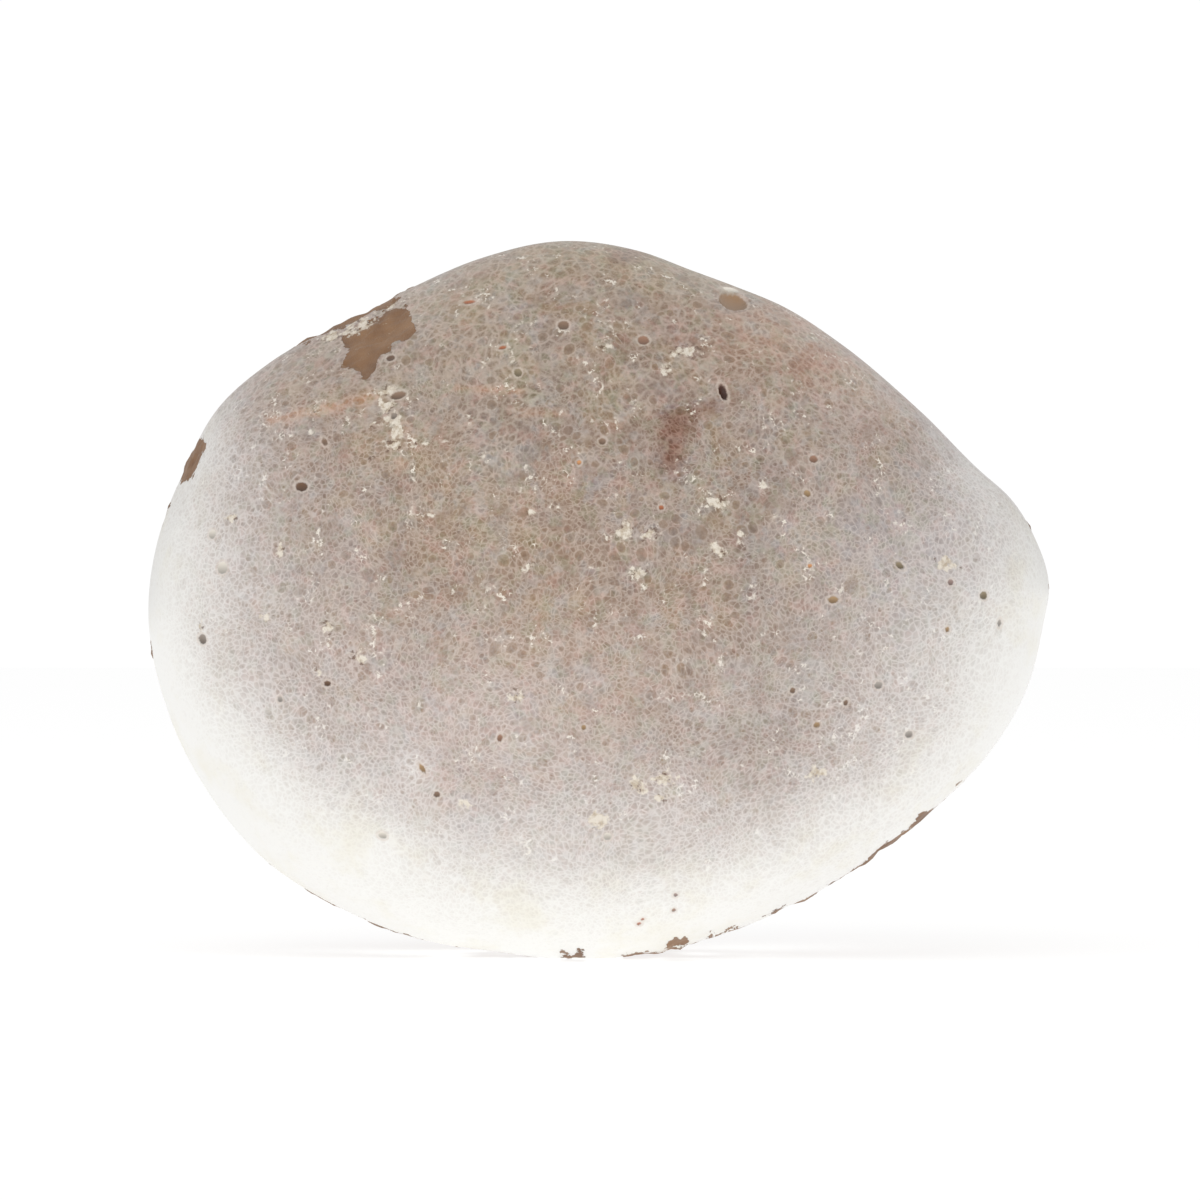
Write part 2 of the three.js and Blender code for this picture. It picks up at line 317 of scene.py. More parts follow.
def stoneSurface(direction):
    # In-plane radius: the outline's, fading to an oval with the square of the depth's sine.
    # Then gentle swells outwards and bell-shaped hollows inwards, both along the way to the core.
    sine = direction[:, 1]
    cosine = np.sqrt(np.clip(1 - sine * sine, 0, None))
    angle = np.arctan2(direction[:, 2], direction[:, 0])
    oval = 1 / np.hypot(np.cos(angle) / stone["waist"][0], np.sin(angle) / stone["waist"][1])
    fade = sine * sine
    radius = outlineRadius(angle) * (1 - fade) + oval * fade
    front = sine < 0
    coreX, coreZ = stone["core"]
    apexX = np.where(front, stone["apexFront"][0], stone["apexBack"][0])
    apexZ = np.where(front, stone["apexFront"][1], stone["apexBack"][1])
    x = coreX + radius * cosine * np.cos(angle) + apexX * fade
    y = np.where(front, *stone["depth"]) * sine
    z = coreZ + radius * cosine * np.sin(angle) + apexZ * fade
    point = np.stack([x, y, z], 1)
    inward = np.array([coreX, 0, coreZ]) - point
    inward /= np.linalg.norm(inward, axis=1)[:, None]
    swell = (0.5 * np.sin(x / 11 + 1.3) * np.cos(z / 13 - 0.4) + 0.3 * np.sin(y / 9 + x / 17)
             + 0.2 * np.cos(z / 7.5 + y / 12 + 2))
    sink = -stone["lumpHeight"] * fade * swell
    for centre, reach, depth in stone["hollows"]:
        away = np.linalg.norm(point - centre, axis=1) / reach
        sink += depth * np.exp(-away * away) * np.minimum(1, np.abs(sine) * 4)
    return point + inward * sink[:, None]


def cubeGrids(cells):
    # Six square grids (u, v) on a cube, at equal angles: tan(u pi / 4), tan(v pi / 4), 1, turned
    # to each side. Gives every grid point's direction, and its side, u and v from 0 to 1.
    line = np.linspace(-1, 1, cells + 1)
    u, v = (a.ravel() for a in np.meshgrid(line, line, indexing="ij"))
    s, t, one = np.tan(u * np.pi / 4), np.tan(v * np.pi / 4), np.ones(u.size)
    sides = [(s, -one, t), (one, s, t), (-s, one, t), (-one, -s, t), (s, t, one), (s, -t, -one)]
    cube = np.concatenate([np.stack(side, 1) for side in sides])
    grid = np.stack([np.tile((u + 1) / 2, 6), np.tile((v + 1) / 2, 6)], 1)
    return cube, grid


def seen(point):
    # x and z where a point shows from the camera, carried to the plane y = 0:
    # aim + (place - aim) * distance / (distance + y)
    nearer = view["distance"] / (view["distance"] + point[:, 1])
    aimX, aimZ = view["aim"]
    return aimX + (point[:, 0] - aimX) * nearer, aimZ + (point[:, 2] - aimZ) * nearer


def frontSamples(count=400, rim=0.998):
    # Directions (u, -sqrt(1 - u^2 - v^2), v) over the front half of a ball, short of its rim,
    # with the surface's place in each and where that shows.
    step = np.linspace(-1, 1, count)
    u, v = (a.ravel() for a in np.meshgrid(step, step))
    inside = u * u + v * v < rim
    u, v = u[inside], v[inside]
    direction = np.stack([u, -np.sqrt(1 - u * u - v * v), v], 1)
    place = stoneSurface(direction)
    return direction, place, *seen(place)


frontGrid = frontSamples()


def frontPlace(x, z):
    # the direction and place on the front that show nearest to the x and z given
    direction, place, seenX, seenZ = frontGrid
    nearest = np.argmin((seenX - x) ** 2 + (seenZ - z) ** 2)
    return direction[nearest], place[nearest]


def gathered(direction):
    # Grid points drawn in towards each pit: d - k (d - c) exp(-|d - c|^2 / reach^2), one pit
    # after another, so that small shapes have enough faces.
    least, perMm = stone["gatherReach"]
    for x, z, across, up, *rest in pits:
        centre = frontPlace(x, z)[0]
        reach = least + perMm * max(across, up)
        away = direction - centre
        pull = stone["gatherPull"] * np.exp(-(away ** 2).sum(1) / reach ** 2)
        direction = direction - away * pull[:, None]
        direction = direction / np.linalg.norm(direction, axis=1)[:, None]
    return direction


def ovalDistance(point, x, z, across, up, tilt):
    # 0 in the middle of a tilted oval round (x, z) and 1 on its edge, the root of a^2 + b^2 + c^2,
    # with a along it, b across it, and c the depth in three times its longer half size
    place = frontPlace(x, z)[1]
    away = point - place
    c, s = np.cos(np.radians(tilt)), np.sin(np.radians(tilt))
    a = (away[:, 0] * c + away[:, 2] * s) / across
    b = (away[:, 2] * c - away[:, 0] * s) / up
    return np.sqrt(a * a + b * b + (away[:, 1] / (3 * max(across, up))) ** 2)


def outlineDistance(x, z, corners):
    # signed distance to a closed outline in the x, z plane, positive inside
    ax, az = np.array(corners).T
    bx, bz = np.roll(ax, -1), np.roll(az, -1)
    ex, ez = bx - ax, bz - az
    px, pz = x[:, None] - ax, z[:, None] - az
    t = np.clip((px * ex + pz * ez) / (ex * ex + ez * ez), 0, 1)
    nearest = np.hypot(px - ex * t, pz - ez * t).min(1)
    crosses = (az > z[:, None]) != (bz > z[:, None])
    side = x[:, None] < ax + ex * (z[:, None] - az) / np.where(ez == 0, 1e-9, ez)
    inside = (crosses & side).sum(1) % 2 == 1
    return np.where(inside, nearest, -nearest)


def vertexNormals(point, quads):
    # each face's cross product of its diagonals, added up at its corners
    a, b, c, d = (point[quads[:, k]] for k in range(4))
    face = np.cross(c - a, d - b)
    total = np.zeros_like(point)
    for k in range(4):
        for axis in range(3):
            total[:, axis] += np.bincount(quads[:, k], face[:, axis], len(point))
    return total / np.linalg.norm(total, axis=1)[:, None]


def rindField(point):
    # Depth in mm behind an edge that wanders round the stone, with two sizes of waves.
    # Polished windows are cut into it at the back, and the front's own patches are added.
    angle = np.degrees(np.arctan2(point[:, 2] - stone["core"][1], point[:, 0] - stone["core"][0]))
    edge = np.full(len(point), rindEdge["start"])
    for middle, spread, shift in rindEdge["shifts"]:
        turn = (angle - middle + 180) % 360 - 180
        edge += shift * np.exp(-(turn / spread) ** 2)
    behind = point[:, 1] - edge + layered(point, rindEdge["edgeWaves"])
    window = layered(point, rindEdge["windowWaves"], rindEdge["windows"])
    seenX, seenZ = seen(point)
    patch = np.max([outlineDistance(seenX, seenZ, corners) for corners in rindPatches], 0)
    patch = np.where(point[:, 1] < 0, rindEdge["patchSteepness"] * patch, rindEdge["noPatch"])
    return np.maximum(np.minimum(behind, window), patch)


def paintedUnderlightShare(point, normal):
    # Painted light from below, strong low down and at both ends: a logistic curve, 1 / (1 + e^-t),
    # of the height (a parabola), of how much the surface faces sideways and of the drifts,
    # stretched a little so that it reaches 0 and 1.
    h = point[:, 2] / paintedUnderlight["height"]
    t = paintedUnderlight["start"] - paintedUnderlight["fall"] * h + paintedUnderlight["curve"] * h * h + paintedUnderlight["sides"] * normal[:, 0] ** 2
    seenX, seenZ = seen(point)
    for x, z, across, up, change in paintedUnderlight["drifts"]:
        away = ((seenX - x) / across) ** 2 + ((seenZ - z) / up) ** 2
        t += change * np.exp(-away) * (point[:, 1] < 0)
    return np.clip(paintedUnderlight["stretch"] / (1 + np.exp(-t)) - paintedUnderlight["cutOff"], 0, 1)


def stoneTint(point):
    # the agate's own colour, with soft oval stains and straight streaks laid over it
    tint = np.tile(linear("agate"), (len(point), 1))
    front = smooth(-point[:, 1], -6, 4)
    seenX, seenZ = seen(point)
    for x, z, across, up, tone, strength in stains:
        away = ((seenX - x) / across) ** 2 + ((seenZ - z) / up) ** 2
        share = (strength * front * np.exp(-away))[:, None]
        tint = tint * (1 - share) + linear(tone) * share
    for x, z, toX, toZ, width, tone, strength in streaks:
        ex, ez = toX - x, toZ - z
        px, pz = seenX - x, seenZ - z
        t = np.clip((px * ex + pz * ez) / (ex * ex + ez * ez), 0, 1)
        away = np.hypot(px - ex * t, pz - ez * t) / width
        share = (strength * front * np.exp(-away * away))[:, None]
        tint = tint * (1 - share) + linear(tone) * share
    drift = (1 - front) * 0.5 * np.tanh(waves(point, 30, 21))
    tint = tint * (1 + 0.12 * drift)[:, None]
    return tint


def stoneMesh():
    # The surface's points moved out along their normals by the relief: pits as the root of
    # 1.05 - d^2, chalk and rind as small waves. Then attributes for the material, and the map.
    cells = stone["gridCells"]
    cube, grid = cubeGrids(cells)
    side = (cells + 1) ** 2
    _, first, merged = np.unique(np.round(cube, 6), axis=0, return_index=True, return_inverse=True)
    merged = merged.ravel()
    direction = cube[first] / np.linalg.norm(cube[first], axis=1)[:, None]
    point = stoneSurface(gathered(direction))
    corner = np.arange(side).reshape(cells + 1, cells + 1)
    square = np.stack([corner[:-1, :-1], corner[1:, :-1], corner[1:, 1:], corner[:-1, 1:]], -1)
    square = square.reshape(-1, 4)
    loops = np.concatenate([square + k * side for k in range(6)])
    quads = merged[loops]
    normal = vertexNormals(point, quads)
    print("stone grid:", len(point), "points,", len(quads), "faces")

    rind = rindField(point)
    # the share of painted light from below at each point
    underlitShare = paintedUnderlightShare(point, normal)
    spot = np.full(len(point), stone["farOff"])
    pitToneAndShade = np.tile(linear("taupe"), (len(point), 1))
    height = np.zeros(len(point))
    for x, z, across, up, tilt, depth, tone in pits:
        d = ovalDistance(point, x, z, across, up, tilt)
        reach = (1 - d) * min(across, up)
        nearer = reach > spot
        spot[nearer] = reach[nearer]
        # painted shade and light in each pit: lighter high up, darker low down
        lit = np.clip((point[:, 2] - frontPlace(x, z)[1][2]) / up, -1, 1)
        pitToneAndShade[nearer] = linear(tone) * (1 + stone["pitPaintedShading"] * lit[nearer, None])
        height -= depth * np.sqrt(np.clip(1.05 - d * d, 0, None))
    chalk = np.full(len(point), stone["farOff"])
    for x, z, across, up, tilt in chalks:
        d = ovalDistance(point, x, z, across, up, tilt)
        chalk = np.maximum(chalk, (1.15 - d) * (0.45 + 0.5 * min(across, up)))
    height += smooth(chalk, -0.1, 0.4) * layered(point, stone["chalkWaves"])
    skin = smooth(rind, 0.0, 0.9)
    height -= stone["rindSink"] * skin
    height += skin * layered(point, stone["rindWaves"])
    tint = stoneTint(point)
    point = point + normal * height[:, None]
    point[:, 2] = np.maximum(point[:, 2], 0)
    print("pits, chalk and rind laid on")

    mesh = bpy.data.meshes.new("agateStone")
    mesh.vertices.add(len(point))
    mesh.vertices.foreach_set("co", (point * metresPerMm).astype(np.float32).ravel())
    mesh.loops.add(quads.size)
    mesh.loops.foreach_set("vertex_index", quads.astype(np.int32).ravel())
    mesh.polygons.add(len(quads))
    mesh.polygons.foreach_set("loop_start", np.arange(0, quads.size, 4, dtype=np.int32))
    mesh.update(calc_edges=True)
    mesh.polygons.foreach_set("use_smooth", np.ones(len(quads), dtype=bool))

    # Six squares of the baked map: the front fills two thirds each way, the rest a third each.
    places = np.array([(0, 0, 2), (2, 0, 1), (2, 1, 1), (2, 2, 1), (1, 2, 1), (0, 2, 1)]) / 3
    margin = stone["bakeMargin"]
    uv = grid[loops.ravel()]
    sideOf = loops.ravel() // side
    low, wide = places[sideOf, :2], places[sideOf, 2:]
    uv = low + margin + uv * (wide - 2 * margin)
    layer = mesh.uv_layers.new(name="OFBake")
    layer.uv.foreach_set("vector", uv.astype(np.float32).ravel())

    # one of these is the share of painted light from below
    for name, values in (("rind", rind), ("paintedUnderlight", underlitShare), ("spot", spot), ("chalk", chalk)):
        field = mesh.attributes.new(name, "FLOAT", "POINT")
        field.data.foreach_set("value", values.astype(np.float32))
    # the pits' colour holds each pit's tone with its painted shade and light
    for name, values in (("tint", tint), ("pitToneAndShade", pitToneAndShade)):
        field = mesh.attributes.new(name, "FLOAT_COLOR", "POINT")
        opaque = np.concatenate([values, np.ones((len(values), 1))], 1)
        field.data.foreach_set("color", opaque.astype(np.float32).ravel())
    mesh.validate()
    return mesh


class Nodes:
    # short ways to add and join the nodes of one tree
    def __init__(self, tree):
        self.tree = tree

    def add(self, kind, values=None, **settings):
        node = self.tree.nodes.new(kind)
        for name, value in settings.items():
            setattr(node, name, value)
        for name, value in (values or {}).items():
            self.feed(node.inputs[name], value)
        return node

    def feed(self, target, value):
        if isinstance(value, bpy.types.NodeSocket):
            self.tree.links.new(value, target)
        else:
            target.default_value = value

    def math(self, operation, a, b=0.5, c=0.5, clamp=False):
        node = self.add("ShaderNodeMath", {0: a, 1: b, 2: c}, operation=operation)
        node.use_clamp = clamp
        return node.outputs[0]

    def ramp(self, value, low, high, fromValue=0.0, toValue=1.0):
        node = self.add("ShaderNodeMapRange", {
            "Value": value, "From Min": low, "From Max": high,
            "To Min": fromValue, "To Max": toValue}, interpolation_type="SMOOTHSTEP")
        return node.outputs["Result"]

    def mix(self, share, a, b, blend="MIX"):
        node = self.add("ShaderNodeMix", data_type="RGBA", blend_type=blend)
        self.feed(node.inputs[0], share)
        self.feed(node.inputs[6], a)
        self.feed(node.inputs[7], b)
        return node.outputs[2]

    def vector(self, operation, a, b=(0.0, 0.0, 0.0), c=(0.0, 0.0, 0.0)):
        node = self.add("ShaderNodeVectorMath", operation=operation)
        for target, value in zip(node.inputs, (a, b, c)):
            self.feed(target, value)
        return node.outputs[0]

    def noise(self, vector, scale, detail=2.0, roughness=0.5):
        node = self.add("ShaderNodeTexNoise", {
            "Vector": vector, "Scale": scale, "Detail": detail, "Roughness": roughness})
        return node

    def attribute(self, name, colour=False):
        node = self.add("ShaderNodeAttribute", attribute_name=name)
        return node.outputs["Color" if colour else "Fac"]


def rgba(tone):
    # a tone as a node socket takes it
    return (*linear(tone), 1.0)


def nodeGroup(name, inputs, outputs):
    # a node group that takes a vector and numbers and gives numbers, with its nodes and ends
    group = bpy.data.node_groups.new(name, "ShaderNodeTree")
    group.interface.new_socket(name="Vector", in_out="INPUT", socket_type="NodeSocketVector")
    for given, default in inputs.items():
        made = group.interface.new_socket(
            name=given, in_out="INPUT", socket_type="NodeSocketFloat")
        made.default_value = default
    for given in outputs:
        group.interface.new_socket(name=given, in_out="OUTPUT", socket_type="NodeSocketFloat")
    n = Nodes(group)
    return group, n, n.add("NodeGroupInput").outputs, n.add("NodeGroupOutput").inputs


def cellField(n, vector, size):
    # Cells of a given size: how far off the cell's middle is, and its edge, its three random
    # numbers, and how far off a spot a little below its middle is.
    scaled = n.vector("DIVIDE", vector, size)
    near = n.add("ShaderNodeTexVoronoi", {"Vector": scaled, "Scale": 1.0}, feature="F1")
    rim = n.add("ShaderNodeTexVoronoi", {"Vector": scaled, "Scale": 1.0},
                feature="DISTANCE_TO_EDGE")
    chance = n.add("ShaderNodeSeparateColor", {"Color": near.outputs["Color"]}).outputs
    away = n.vector("SUBTRACT", scaled, near.outputs["Position"])
    # the dark spot is set a little low in its cell: partly painted shade of a small hollow
    lower = n.vector("ADD", away, (0.0, 0.0, 0.08))
    length = n.add("ShaderNodeVectorMath", {0: lower}, operation="LENGTH").outputs["Value"]
    return near.outputs["Distance"], rim.outputs["Distance"], chance, length


def foamGroup():
    # Fine foam: cells that share thin walls. Wall is 1 on a wall, Dot a darker spot low in each
    # cell, partly its own dark and partly painted shade, Shade a random tone per cell.
    group, n, given, out = nodeGroup(
        "fineFoam", {"Cell Size": 1.0, "Wall Width": 0.1}, ("Wall", "Dot", "Shade"))
    _, edge, chance, length = cellField(n, given["Vector"], given["Cell Size"])
    n.feed(out["Wall"], n.ramp(edge, given["Wall Width"], 0.0))
    n.feed(out["Dot"], n.ramp(length, n.math("MULTIPLY_ADD", chance[1], 0.24, 0.16), 0.06))
    n.feed(out["Shade"], chance[2])
    return group


def bubbleGroup():
    # Bigger round bubbles, strewn. Core is 1 inside a bubble, Ring marks its wall, Shade is a
    # random tone per bubble and Dot a darker spot low in it, partly its own dark and partly painted
    # shade.
    group, n, given, out = nodeGroup(
        "strewnBubbles",
        {"Cell Size": 1.0, "Radius": 0.5, "Spread": 0.3, "Filled": 1.0, "Softness": 0.1},
        ("Core", "Ring", "Shade", "Dot"))
    middle, edge, chance, length = cellField(n, given["Vector"], given["Cell Size"])
    # each bubble's own radius, never reaching past the wall to its neighbour
    radius = n.math("MULTIPLY_ADD", chance[0], given["Spread"], given["Radius"])
    held = n.math("SMOOTH_MIN", n.math("SUBTRACT", radius, middle), edge, 0.12)
    lively = n.math("LESS_THAN", chance[1], given["Filled"])
    soft = given["Softness"]
    core = n.ramp(held, 0.0, soft)
    ringIn = n.ramp(held, soft, 0.0)
    ringOut = n.ramp(held, n.math("MULTIPLY", soft, -1.4), 0.0)
    dot = n.ramp(length, n.math("MULTIPLY", radius, 0.8), 0.0)
    n.feed(out["Core"], n.math("MULTIPLY", core, lively))
    n.feed(out["Ring"], n.math("MULTIPLY", n.math("MULTIPLY", ringIn, ringOut), lively))
    n.feed(out["Shade"], chance[2])
    n.feed(out["Dot"], n.math("MULTIPLY", n.math("MULTIPLY", dot, core), lively))
    return group


def grainGroup():
    # Fine mineral grain: soft mottling at a given size, mostly between -1 and 1.
    group, n, given, out = nodeGroup("mineralGrain", {"Size": 1.0}, ("Grain",))
    cloud = n.noise(n.vector("DIVIDE", given["Vector"], given["Size"]), 1.0, 3.0, 0.6)
    n.feed(out["Grain"], n.math("MULTIPLY_ADD", cloud.outputs["Fac"], 4.0, -2.0))
    return group


def bareMaterial(name):
    # a new material with an empty node tree
    material = bpy.data.materials.new(name)
    material.use_nodes = True
    material.node_tree.nodes.clear()
    return material, material.node_tree


# Lengths in mm, cells measured from middle to middle, tones as shares of the ground tone.
agateLook = {
    "foamCell": 0.54, "deepCell": 1.10,
    "wallWidth": 0.19, "deepWallWidth": 0.24,      # in cells
    "warpSize": 9.0, "warp": 3.4,                  # rows of cells bend this much
    "waverSize": 0.7, "waver": 0.22,               # and single walls this much
    "drawnOut": 0.45,                              # depth counts this much on the front
    # strewn bubbles: cell, then in cells radius, spread, share filled, softness of the edge
    "bubbles": {"small": (0.95, 0.16, 0.16, 0.50, 0.08), "medium": (1.40, 0.24, 0.26, 0.30, 0.09),
                "large": (3.0, 0.16, 0.22, 0.22, 0.07)},
    # how strong each one's core, dot and ring are
    "bubbleShares": {"small": (0.45, 0.50, 0.36), "medium": (0.70, 0.50, 0.36),
                     "large": (0.75, 0.35, 0.24)},
    "mottleSize": 1.6, "chipSize": 0.7, "speckSize": 0.3,
    "coarseHeights": (46.0, 72.0),                 # fine below, coarse above
    "coarseDrift": 16.0,                           # and this wander up and down
    # drifting clouds of tone: size, strength, the three tones
    "clouds": [(4.5, 0.55, ("ochreStain", "ashStain", "mauveStain")),
               (1.7, 0.60, ("rose", "ashStain", "moss"))],
    "cloudOwnTone": 0.6,                           # against the tone that it lies on
    "dark": (0.58, 0.54, 0.50), "cellDark": (0.84, 0.82, 0.80), "deepDark": (0.78, 0.74, 0.68),
    "bubbleDark": (0.90, 0.87, 0.84), "pale": (1.35, 1.35, 1.35),
    "stainSoak": 0.85, "whiteWalls": 0.95, "cracks": 0.80,
    # how unevenly the painted light from below whitens walls, dots, bubbles and the rest
    "underlightUnevenness": {"walls": 0.55, "deepWalls": 0.25, "dots": -0.35,
                       "small": -0.40, "medium": -0.35, "mottle": 0.16, "all": -0.17},
    "chalkRagged": 0.70, "chalkChips": 0.35, "chalkCover": 0.95, "besideChalk": 0.75,
    # how strong the painted highlight round each pit is
    "pitRimHighlight": 0.45,
    "fleckSize": 1.2, "fleckStretch": 0.40, "fleckDepth": 3.0,
    "rindOwnTone": 0.45, "rindMottle": 0.30, "rindDust": 0.8,
    "polish": 0.3, "rindRoughness": 0.5, "chalkRoughness": 0.75,
    "indexOfRefraction": 1.54, "specular": 0.3,
    "bumpStrength": 0.8, "bumpHeight": 0.06,
}


class AgateNodes(Nodes):
    # what the layers of the agate share: places in mm, foams, bubbles, and grain of three sizes
    def __init__(self, tree):
        super().__init__(tree)
        look = agateLook
        foams, self.bubbles, self.grains = foamGroup(), bubbleGroup(), grainGroup()
        place = self.add("ShaderNodeTexCoord").outputs["Object"]
        self.trueMm = self.vector("DIVIDE", place, (metresPerMm,) * 3)
        # the front's bubbles are drawn out away from its face: y is at least a part of y
        apart = self.add("ShaderNodeSeparateXYZ", {"Vector": self.trueMm}).outputs
        depth = self.math("MAXIMUM", apart["Y"], self.math("MULTIPLY", apart["Y"], look["drawnOut"]))
        joined = self.add("ShaderNodeCombineXYZ", {"X": apart["X"], "Y": depth, "Z": apart["Z"]})
        self.inMm = joined.outputs[0]
        bent = self.pushed(self.inMm, look["warpSize"], look["warp"])
        self.bent = self.pushed(bent, look["waverSize"], look["waver"])
        self.foam = self.group(foams, {"Vector": self.bent, "Cell Size": look["foamCell"],
                                       "Wall Width": look["wallWidth"]})
        self.deep = self.group(foams, {"Vector": self.bent, "Cell Size": look["deepCell"],
                                       "Wall Width": look["deepWallWidth"]})
        self.strewn = {kind: self.bubble(values) for kind, values in look["bubbles"].items()}
        self.mottle = self.grain(look["mottleSize"])
        self.chip = self.grain(look["chipSize"])
        self.speck = self.grain(look["speckSize"])
        # bubbles are coarse high up and in drifts, and some of the stone is almost plain
        coarse = self.math("MULTIPLY_ADD", self.grain(8.0), look["coarseDrift"], apart["Z"])
        self.coarse = self.ramp(coarse, *look["coarseHeights"])
        self.plain = self.ramp(self.grain(3.0), -0.25, 0.75)

    def group(self, kind, values):
        node = self.add("ShaderNodeGroup", node_tree=kind)
        for name, value in values.items():
            self.feed(node.inputs[name], value)
        return node.outputs

    def pushed(self, vector, size, amount):
        # moved by a soft noise of the given size
        cloud = self.noise(self.inMm, 1 / size, 1.0).outputs["Color"]
        centred = self.vector("SUBTRACT", cloud, (0.5, 0.5, 0.5))
        return self.vector("MULTIPLY_ADD", centred, (amount,) * 3, vector)

    def bubble(self, values):
        names = ("Cell Size", "Radius", "Spread", "Filled", "Softness")
        return self.group(self.bubbles, {"Vector": self.bent, **dict(zip(names, values))})

    def grain(self, size):
        return self.group(self.grains, {"Vector": self.inMm, "Size": size})["Grain"]

    def times(self, colour, tone):
        return self.mix(1.0, colour, (*tone, 1.0), "MULTIPLY")


def groundTone(n, look, tint):
    # the stone's own tone drifts between warm and cool, in large clouds and in small ones
    for size, share, drifting in look["clouds"]:
        cloud = n.noise(n.inMm, 1 / size, 3.0, 0.6).outputs["Color"]
        cloud = n.add("ShaderNodeSeparateColor", {"Color": cloud})
        for channel, tone in zip(cloud.outputs, drifting):
            laid = n.times(tint, linear(tone) / linear("agate"))
            drifted = n.mix(look["cloudOwnTone"], laid, rgba(tone))
            tint = n.mix(n.ramp(channel, 0.50, 0.66, 0.0, share), tint, drifted)
    return tint


def foamLayer(n, look, tint, dark, pale):
    # fine foam: cell tones, darker dots partly of painted shade, pale walls that come and go
    cellShare = n.ramp(n.foam["Shade"], 0.2, 1.0, 0.0, 0.6)
    colour = n.mix(cellShare, tint, n.times(tint, look["cellDark"]))
    deepDots = n.math("MULTIPLY", n.deep["Dot"], n.ramp(n.coarse, 0.0, 1.0, 0.22, 0.50))
    colour = n.mix(deepDots, colour, n.times(tint, look["deepDark"]))
    dots = n.math("MULTIPLY", n.foam["Dot"], n.ramp(n.plain, 0.0, 1.0, 0.42, 0.12))
    colour = n.mix(dots, colour, dark)
    wallShare = n.math("MULTIPLY", n.foam["Wall"], n.ramp(n.plain, 0.0, 1.0, 0.72, 0.26))
    wallShare = n.math("MULTIPLY", wallShare, n.ramp(n.chip, -1.4, 0.6, 0.45, 1.0))
    wallShare = n.math("MULTIPLY", wallShare, n.ramp(n.coarse, 0.0, 1.0, 1.0, 0.45))
    colour = n.mix(wallShare, colour, pale)
    deepShare = n.math("MULTIPLY", n.deep["Wall"], n.ramp(n.coarse, 0.0, 1.0, 0.32, 0.66))
    deepShare = n.math("MULTIPLY", deepShare, n.ramp(n.plain, 0.0, 1.0, 1.0, 0.5))
    colour = n.mix(deepShare, colour, pale)
    return n.mix(n.ramp(n.grain(2.3), 0.0, 1.0, 0.0, 0.38), colour, pale)


def bubbleLayer(n, look, colour, tint, dark, pale):
    # bigger bubbles over the foam, with brown cores, dark dots partly of painted shade and pale
    # rings, then fine specks
    for kind, bubble in n.strewn.items():
        coreShare, dotShare, ringShare = look["bubbleShares"][kind]
        brown = n.mix(0.5, tint, rgba("ochre"))
        brown = n.mix(bubble["Shade"], n.times(tint, look["bubbleDark"]), brown)
        colour = n.mix(n.math("MULTIPLY", bubble["Core"], coreShare), colour, brown)
        colour = n.mix(n.math("MULTIPLY", bubble["Dot"], dotShare), colour, dark)
        colour = n.mix(n.math("MULTIPLY", bubble["Ring"], ringShare), colour, pale)
    colour = n.mix(n.ramp(n.speck, -0.3, 1.0, 0.0, 0.22), colour, pale)
    return n.mix(n.ramp(n.speck, 0.0, -0.9, 0.0, 0.28), colour, dark)


def whiteWallLayer(n, look, colour):
    # walls that turned white, here and there, and tiny dark cracks beside them
    cluster = n.ramp(n.grain(2.6), 0.22, 0.62)
    walls = n.math("MAXIMUM", n.ramp(n.foam["Wall"], 0.1, 0.7), n.ramp(n.deep["Wall"], 0.3, 0.9))
    lit = n.math("MULTIPLY", cluster, walls)
    lit = n.math("MULTIPLY", lit, n.ramp(n.grain(0.6), 0.14, 0.42))
    lit = n.math("MULTIPLY", lit, look["whiteWalls"], clamp=True)
    colour = n.mix(lit, colour, rgba("chalk"))
    crack = n.math("MULTIPLY", cluster, n.ramp(n.chip, -0.50, -0.80))
    return n.mix(n.math("MULTIPLY", crack, look["cracks"]), colour, rgba("taupe"))


def paintedUnderlightLayer(n, look, colour):
    # painted light from below, white low down: m + m (1.07 - m) times an unevenness, so the walls
    # whiten first
    underlitShare = n.attribute("paintedUnderlight")
    between = n.math("MULTIPLY", underlitShare, n.math("SUBTRACT", 1.07, underlitShare))
    share = look["underlightUnevenness"]
    uneven = n.math("MULTIPLY_ADD", n.mottle, share["mottle"], share["all"])
    for mask, kind in ((n.foam["Wall"], "walls"), (n.foam["Dot"], "dots"),
                       (n.strewn["small"]["Core"], "small"),
                       (n.strewn["medium"]["Core"], "medium"), (n.deep["Wall"], "deepWalls")):
        uneven = n.math("MULTIPLY_ADD", mask, share[kind], uneven)
    veil = n.math("MULTIPLY_ADD", between, uneven, underlitShare, clamp=True)
    underlightColour = n.mix(n.ramp(n.grain(6.0), -0.2, 1.0), rgba("paintedUnderlight"), rgba("cream"))
    underlightColour = n.mix(n.ramp(underlitShare, 0.2, 0.9), rgba("haze"), underlightColour)
    return n.mix(veil, colour, underlightColour)


def chalkLayer(n, look, colour):
    # chalk deposits, broken up at their edges, with dark chips beside them
    chalk = n.math("MULTIPLY_ADD", n.grain(1.0), look["chalkRagged"], n.attribute("chalk"))
    chalk = n.math("MULTIPLY_ADD", n.chip, look["chalkChips"], chalk)
    chalkMask = n.ramp(chalk, 0.15, 0.60, 0.0, look["chalkCover"])
    chalkColour = n.mix(n.ramp(n.chip, -0.6, 0.5), rgba("chalkShade"), rgba("chalk"))
    colour = n.mix(chalkMask, colour, chalkColour)
    beside = n.math("MULTIPLY", n.ramp(chalk, -0.25, 0.0), n.ramp(chalk, 0.5, 0.25))
    beside = n.math("MULTIPLY", beside, n.ramp(n.chip, -0.30, -0.60))
    colour = n.mix(n.math("MULTIPLY", beside, look["besideChalk"]), colour, rgba("walnut"))
    return colour, chalkMask


